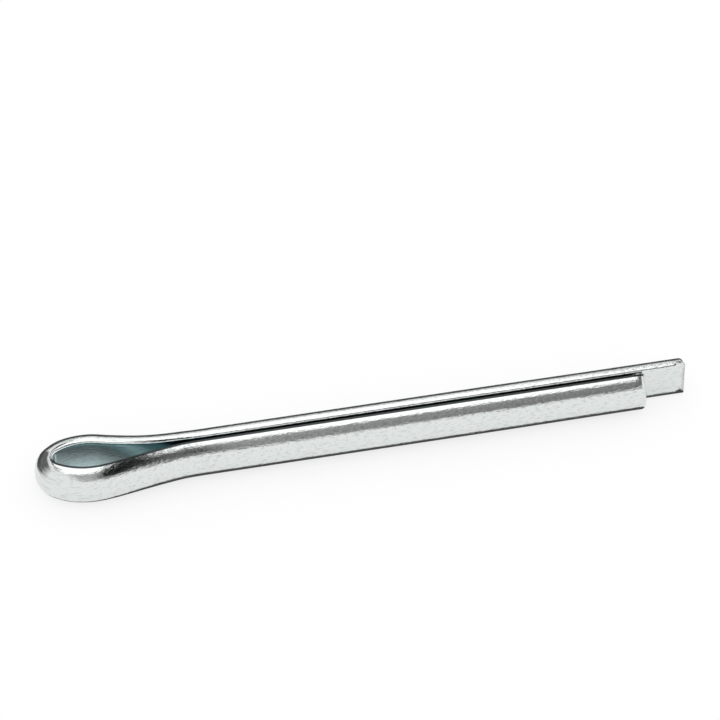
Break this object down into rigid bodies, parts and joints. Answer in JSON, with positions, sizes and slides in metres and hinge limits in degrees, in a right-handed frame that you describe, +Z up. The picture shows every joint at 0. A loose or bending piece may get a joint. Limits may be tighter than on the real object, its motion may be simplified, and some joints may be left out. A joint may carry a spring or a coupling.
{
  "type": "split pin",
  "caption": "Split pin bent from half-round wire, its legs lying flat to flat and opening into a slim teardrop eye, for locking brake pads or other cross-drilled parts.",
  "frame": {"origin": "on the shank's axis at the shoulder, where the two legs part to form the eye", "axes": "+X runs along the shank from the eye to the tips, +Y runs across the flats from the short leg to the long leg, +Z is up out of the plane of the eye"},
  "size_m": [0.0416, 0.0046, 0.0028],
  "materials": {
    "zinc_plated_steel": "bright zinc plate over drawn half-round steel wire, fine drawing lines and a slightly grainy sheen"
  },
  "bodies": {
    "root": {"split_pin": "zinc_plated_steel"}
  },
  "joints": []
}
